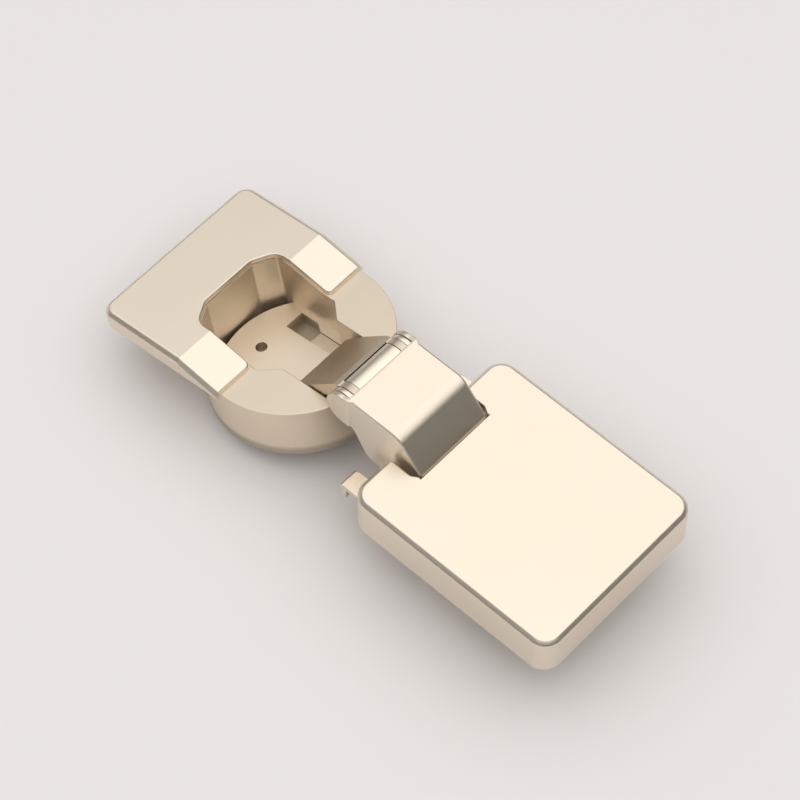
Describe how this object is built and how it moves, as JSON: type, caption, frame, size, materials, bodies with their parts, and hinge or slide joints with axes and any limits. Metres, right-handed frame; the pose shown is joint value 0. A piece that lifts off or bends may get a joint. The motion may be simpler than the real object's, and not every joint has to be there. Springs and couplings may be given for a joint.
{
  "type": "concealed hinge",
  "caption": "Concealed cabinet hinge with a round door cup, folded arm, two links and covers; swings a door open and closed on a four-bar linkage.",
  "frame": {"origin": "on the cabinet panel's face, midway between the mounting plate's two screw holes", "axes": "+X into the cabinet along the arm, +Y along the hinge's pivot axes, +Z away from the cabinet panel"},
  "size_m": [0.1191, 0.0432, 0.0288],
  "materials": {
    "cover_satin": "satin champagne lacquer with a fine grain",
    "sheet_steel": "satin champagne plating on folded sheet",
    "cast_metal": "satin champagne plating on a zinc casting",
    "sleeve_steel": "bright satin",
    "pin_steel": "bright ground steel",
    "spring_steel": "oiled strip",
    "screw_steel": "zinc plated",
    "damper_plastic": "fine matte"
  },
  "bodies": {
    "base": {"base_plate": "sheet_steel"},
    "arm_body": {"arm": "sheet_steel", "carrier": "sheet_steel", "plate_cover": "cover_satin", "front_pin": "pin_steel", "rear_pin": "pin_steel", "eye_ring_left": "sleeve_steel", "eye_ring_right": "sleeve_steel", "front_sleeve": "sleeve_steel"},
    "clamp": {"clamp_screw": "screw_steel"},
    "side_adjuster": {"side_screw": "screw_steel"},
    "cam": {"depth_cam": "screw_steel"},
    "outer": {"outer_link": "sheet_steel"},
    "door_cup": {"cup": "cast_metal", "cup_cover": "cover_satin", "outer_cup_pin": "pin_steel", "inner_cup_pin": "pin_steel", "closing_spring": "spring_steel", "damper_housing": "damper_plastic"},
    "inner": {"inner_link": "sheet_steel"},
    "damper": {"damper_slider": "damper_plastic", "damper_rod": "pin_steel"}
  },
  "joints": [
    {"name": "depth_slide", "type": "slide", "parent": "base", "child": "arm_body", "axis": [1, 0, 0], "range_m": [-0.002, 0.002]},
    {"name": "clamp_screw_spin", "type": "hinge", "parent": "base", "child": "clamp", "pos_m": [-0.008, 0, 0.005], "axis": [0, 0, 1], "range_deg": [0, 360]},
    {"name": "side_screw_spin", "type": "hinge", "parent": "arm_body", "child": "side_adjuster", "pos_m": [-0.017, 0, 0.006], "axis": [0, 0, 1], "range_deg": [-360, 360]},
    {"name": "depth_cam_spin", "type": "hinge", "parent": "arm_body", "child": "cam", "pos_m": [0.005, 0, 0.005], "axis": [0, 0, 1], "range_deg": [-60, 60]},
    {"name": "outer_link_swing", "type": "hinge", "parent": "arm_body", "child": "outer", "pos_m": [-0.04468, 0, 0.01253], "axis": [0, -1, 0], "range_deg": [0, 35.9]},
    {"name": "door_swing", "type": "hinge", "parent": "outer", "child": "door_cup", "pos_m": [-0.05645, 0, 0.0004], "axis": [0, 1, 0], "range_deg": [0, 135.7]},
    {"name": "inner_link_swing", "type": "hinge", "parent": "door_cup", "child": "inner", "pos_m": [-0.0529, 0, 0.0044], "axis": [0, -1, 0], "range_deg": [0, 153.7]},
    {"name": "damper_slide", "type": "slide", "parent": "door_cup", "child": "damper", "axis": [-0.9853, 0, -0.1709], "range_m": [0, 0.006]}
  ],
  "couplings": [
    {"joint": "outer_link_swing", "follows": "door_swing", "ratio": 0.2645},
    {"joint": "inner_link_swing", "follows": "door_swing", "ratio": 1.1326},
    {"joint": "damper_slide", "follows": "door_swing", "m_per_rad": 0.00253},
    {"joint": "depth_cam_spin", "follows": "depth_slide", "rad_per_m": 523.5}
  ]
}
